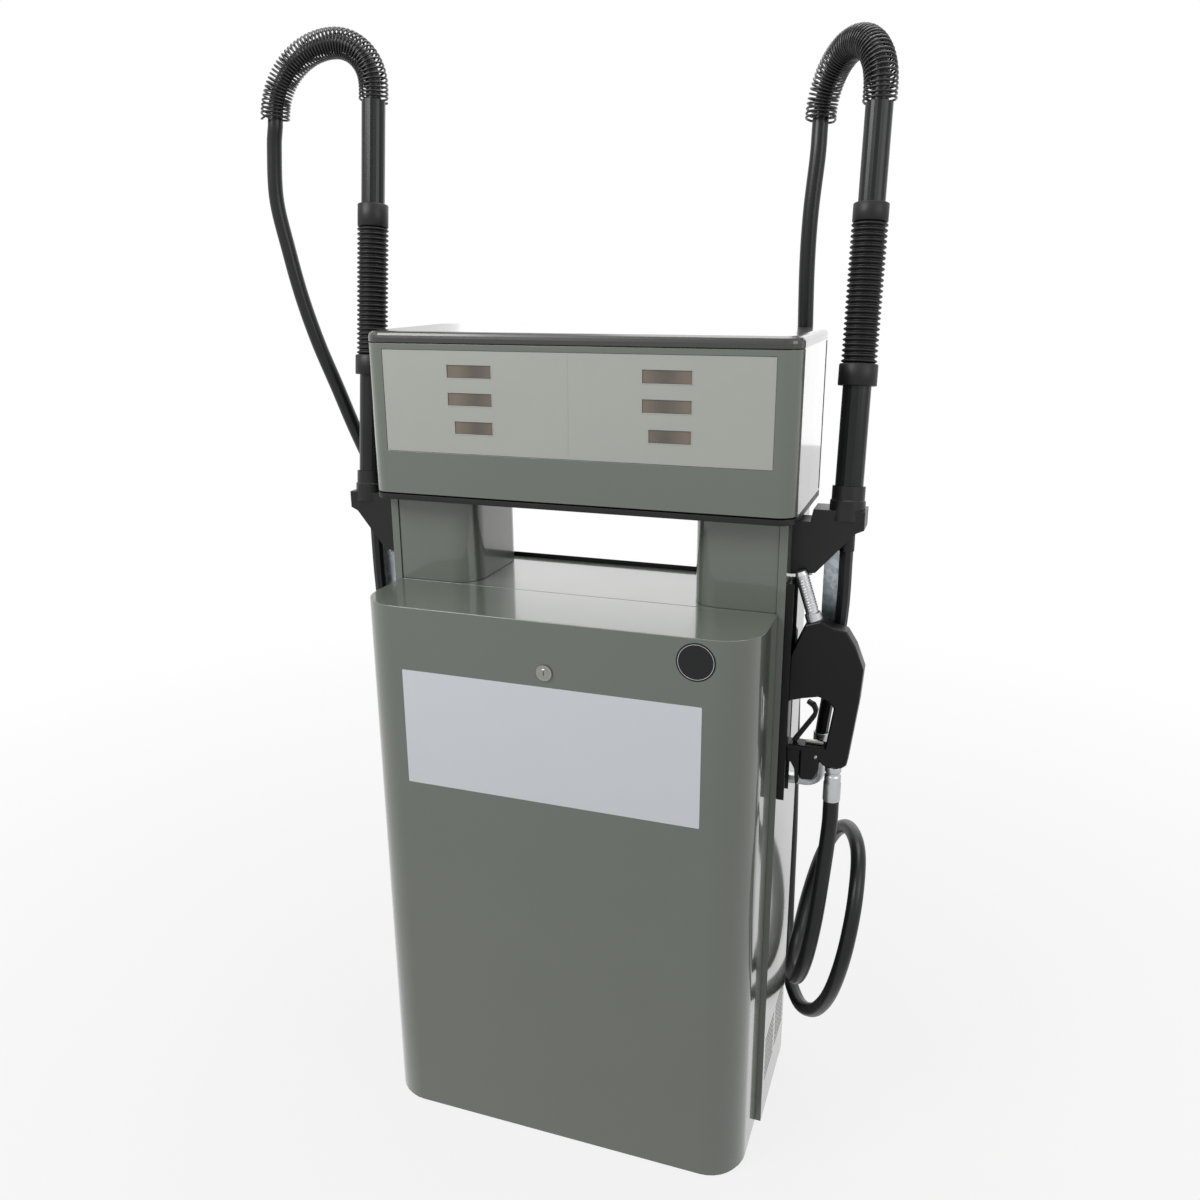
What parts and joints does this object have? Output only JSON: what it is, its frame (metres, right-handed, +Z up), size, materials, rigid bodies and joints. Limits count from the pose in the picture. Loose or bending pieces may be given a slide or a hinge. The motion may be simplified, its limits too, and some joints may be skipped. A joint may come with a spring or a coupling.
{
  "type": "fuel dispenser",
  "caption": "Free-standing fuel dispenser with a display head on columns, a nozzle on each side and leaning masts that lift the hoses.",
  "frame": {"origin": "centre of the base frame where it stands on the floor", "axes": "+Z up, front towards -Y, +X to the right seen from the front"},
  "size_m": [1.1813, 0.6214, 1.9824],
  "materials": {
    "paint": "smooth semi-gloss",
    "black_paint": "satin",
    "black_rubber": "matte",
    "hose_rubber": "satin",
    "dial_plastic": "smooth matte",
    "display_board": "glossy",
    "galvanised": "dull zinc",
    "bare_alloy": "satin",
    "nozzle_plastic": "satin",
    "cast_iron": "painted",
    "bright_steel": "satin"
  },
  "bodies": {
    "housing": {"base_frame": "black_paint", "left_side_panel": "paint", "right_side_panel": "paint", "centre_shelf": "paint", "left_column_cover": "paint", "right_column_cover": "paint", "rear_seal": "black_rubber", "head_gasket": "black_rubber", "head_case": "paint", "head_cap": "black_paint", "electronics_box": "galvanised", "motor": "cast_iron", "pump_unit": "cast_iron", "v_belt": "black_rubber", "supply_manifold": "bright_steel", "left_meter": "bare_alloy", "left_outlet_elbow": "bare_alloy", "left_riser_hose": "hose_rubber", "left_mast_bracket": "black_paint", "left_mast_stay": "galvanised", "left_lower_tube": "black_paint", "left_bellows": "black_rubber", "left_holster": "nozzle_plastic", "left_delivery_hose": "hose_rubber", "right_meter": "bare_alloy", "right_outlet_elbow": "bare_alloy", "right_riser_hose": "hose_rubber", "right_mast_bracket": "black_paint", "right_mast_stay": "galvanised", "right_lower_tube": "black_paint", "right_bellows": "black_rubber", "right_holster": "nozzle_plastic", "right_delivery_hose": "hose_rubber"},
    "front_cover": {"front_cover": "paint"},
    "front_lock": {"front_lock": "bright_steel"},
    "rear_cover": {"rear_cover": "paint"},
    "rear_lock": {"rear_lock": "bright_steel"},
    "head_front_door": {"head_front_door": "paint", "front_dial_panel": "dial_plastic", "front_display_board": "display_board"},
    "head_rear_door": {"head_rear_door": "paint"},
    "motor_pulley": {"motor_pulley": "bright_steel"},
    "pump_pulley": {"pump_pulley": "bright_steel"},
    "left_nozzle": {"left_nozzle_body": "nozzle_plastic", "left_spout": "bare_alloy"},
    "left_trigger": {"left_trigger": "nozzle_plastic"},
    "left_hold_open_clip": {"left_hold_open_clip": "bright_steel"},
    "left_hose_swivel": {"left_hose_swivel": "bare_alloy"},
    "left_switch_lever": {"left_switch_lever": "bright_steel"},
    "left_mast_top": {"left_upper_tube": "black_paint", "left_hose_guard": "black_rubber"},
    "right_nozzle": {"right_nozzle_body": "nozzle_plastic", "right_spout": "bare_alloy"},
    "right_trigger": {"right_trigger": "nozzle_plastic"},
    "right_hold_open_clip": {"right_hold_open_clip": "bright_steel"},
    "right_hose_swivel": {"right_hose_swivel": "bare_alloy"},
    "right_switch_lever": {"right_switch_lever": "bright_steel"},
    "right_mast_top": {"right_upper_tube": "black_paint", "right_hose_guard": "black_rubber"}
  },
  "joints": [
    {"name": "front_cover_tilt", "type": "hinge", "parent": "housing", "child": "front_cover", "pos_m": [0, -0.198, 0.004], "axis": [1, 0, 0], "range_deg": [0, 20]},
    {"name": "front_lock_turn", "type": "hinge", "parent": "front_cover", "child": "front_lock", "pos_m": [0, -0.198, 0.938], "axis": [0, 1, 0], "range_deg": [0, 90]},
    {"name": "rear_cover_lift", "type": "slide", "parent": "housing", "child": "rear_cover", "axis": [0, 0, 1], "range_m": [0, 0.02]},
    {"name": "rear_lock_turn", "type": "hinge", "parent": "rear_cover", "child": "rear_lock", "pos_m": [0, 0.198, 0.925], "axis": [0, 1, 0], "range_deg": [0, 90]},
    {"name": "head_front_door_swing", "type": "hinge", "parent": "housing", "child": "head_front_door", "pos_m": [0, -0.073, 1.447], "axis": [-1, 0, 0], "range_deg": [0, 70]},
    {"name": "head_rear_door_swing", "type": "hinge", "parent": "housing", "child": "head_rear_door", "pos_m": [0, 0.214, 1.447], "axis": [1, 0, 0], "range_deg": [0, 70], "deforming": ["right_delivery_hose"]},
    {"name": "pump_pulley_turn", "type": "hinge", "parent": "housing", "child": "pump_pulley", "pos_m": [0.095, -0.135, 0.165], "axis": [0, 1, 0], "continuous": true},
    {"name": "motor_pulley_turn", "type": "hinge", "parent": "housing", "child": "motor_pulley", "pos_m": [-0.165, -0.135, 0.165], "axis": [0, 1, 0], "continuous": true},
    {"name": "right_nozzle_lift", "type": "slide", "parent": "housing", "child": "right_nozzle", "axis": [0.9062, 0, 0.4229], "range_m": [0, 0.05], "deforming": ["right_delivery_hose"]},
    {"name": "right_trigger_squeeze", "type": "hinge", "parent": "right_nozzle", "child": "right_trigger", "pos_m": [0.385, -0.0145, 0.798], "axis": [0, 1, 0], "range_deg": [0, 14], "stiffness_Nm_per_rad": 0.6, "springref_deg": -8.59},
    {"name": "right_clip_raise", "type": "hinge", "parent": "right_nozzle", "child": "right_hold_open_clip", "pos_m": [0.432, -0.0145, 0.797], "axis": [0, 1, 0], "range_deg": [0, 15]},
    {"name": "right_swivel_turn", "type": "hinge", "parent": "right_nozzle", "child": "right_hose_swivel", "pos_m": [0.452, -0.0145, 0.7597], "axis": [0, 0, 1], "continuous": true},
    {"name": "right_switch_swing", "type": "hinge", "parent": "housing", "child": "right_switch_lever", "pos_m": [0.369, 0.0101, 0.985], "axis": [0, -1, 0], "range_deg": [0, 30]},
    {"name": "right_mast_flex", "type": "hinge", "parent": "housing", "child": "right_mast_top", "pos_m": [0.4437, 0.07062, 1.52774], "axis": [1, 0, 0], "range_deg": [-20, 20], "stiffness_Nm_per_rad": 80, "deforming": ["right_bellows", "right_delivery_hose"]},
    {"name": "left_nozzle_lift", "type": "slide", "parent": "housing", "child": "left_nozzle", "axis": [-0.9062, 0, 0.4229], "range_m": [0, 0.05], "deforming": ["left_delivery_hose"]},
    {"name": "left_trigger_squeeze", "type": "hinge", "parent": "left_nozzle", "child": "left_trigger", "pos_m": [-0.385, 0.135, 0.798], "axis": [0, -1, 0], "range_deg": [0, 14], "stiffness_Nm_per_rad": 0.6, "springref_deg": -8.59},
    {"name": "left_clip_raise", "type": "hinge", "parent": "left_nozzle", "child": "left_hold_open_clip", "pos_m": [-0.432, 0.135, 0.797], "axis": [0, -1, 0], "range_deg": [0, 15]},
    {"name": "left_swivel_turn", "type": "hinge", "parent": "left_nozzle", "child": "left_hose_swivel", "pos_m": [-0.452, 0.135, 0.7597], "axis": [0, 0, 1], "continuous": true},
    {"name": "left_switch_swing", "type": "hinge", "parent": "housing", "child": "left_switch_lever", "pos_m": [-0.369, 0.1054, 0.985], "axis": [0, 1, 0], "range_deg": [0, 30]},
    {"name": "left_mast_flex", "type": "hinge", "parent": "housing", "child": "left_mast_top", "pos_m": [-0.438, 0.07424, 1.53049], "axis": [1, 0, 0], "range_deg": [-20, 20], "stiffness_Nm_per_rad": 80, "deforming": ["left_bellows", "left_delivery_hose"]}
  ],
  "couplings": [
    {"joint": "motor_pulley_turn", "follows": "pump_pulley_turn", "ratio": 2.3333}
  ]
}
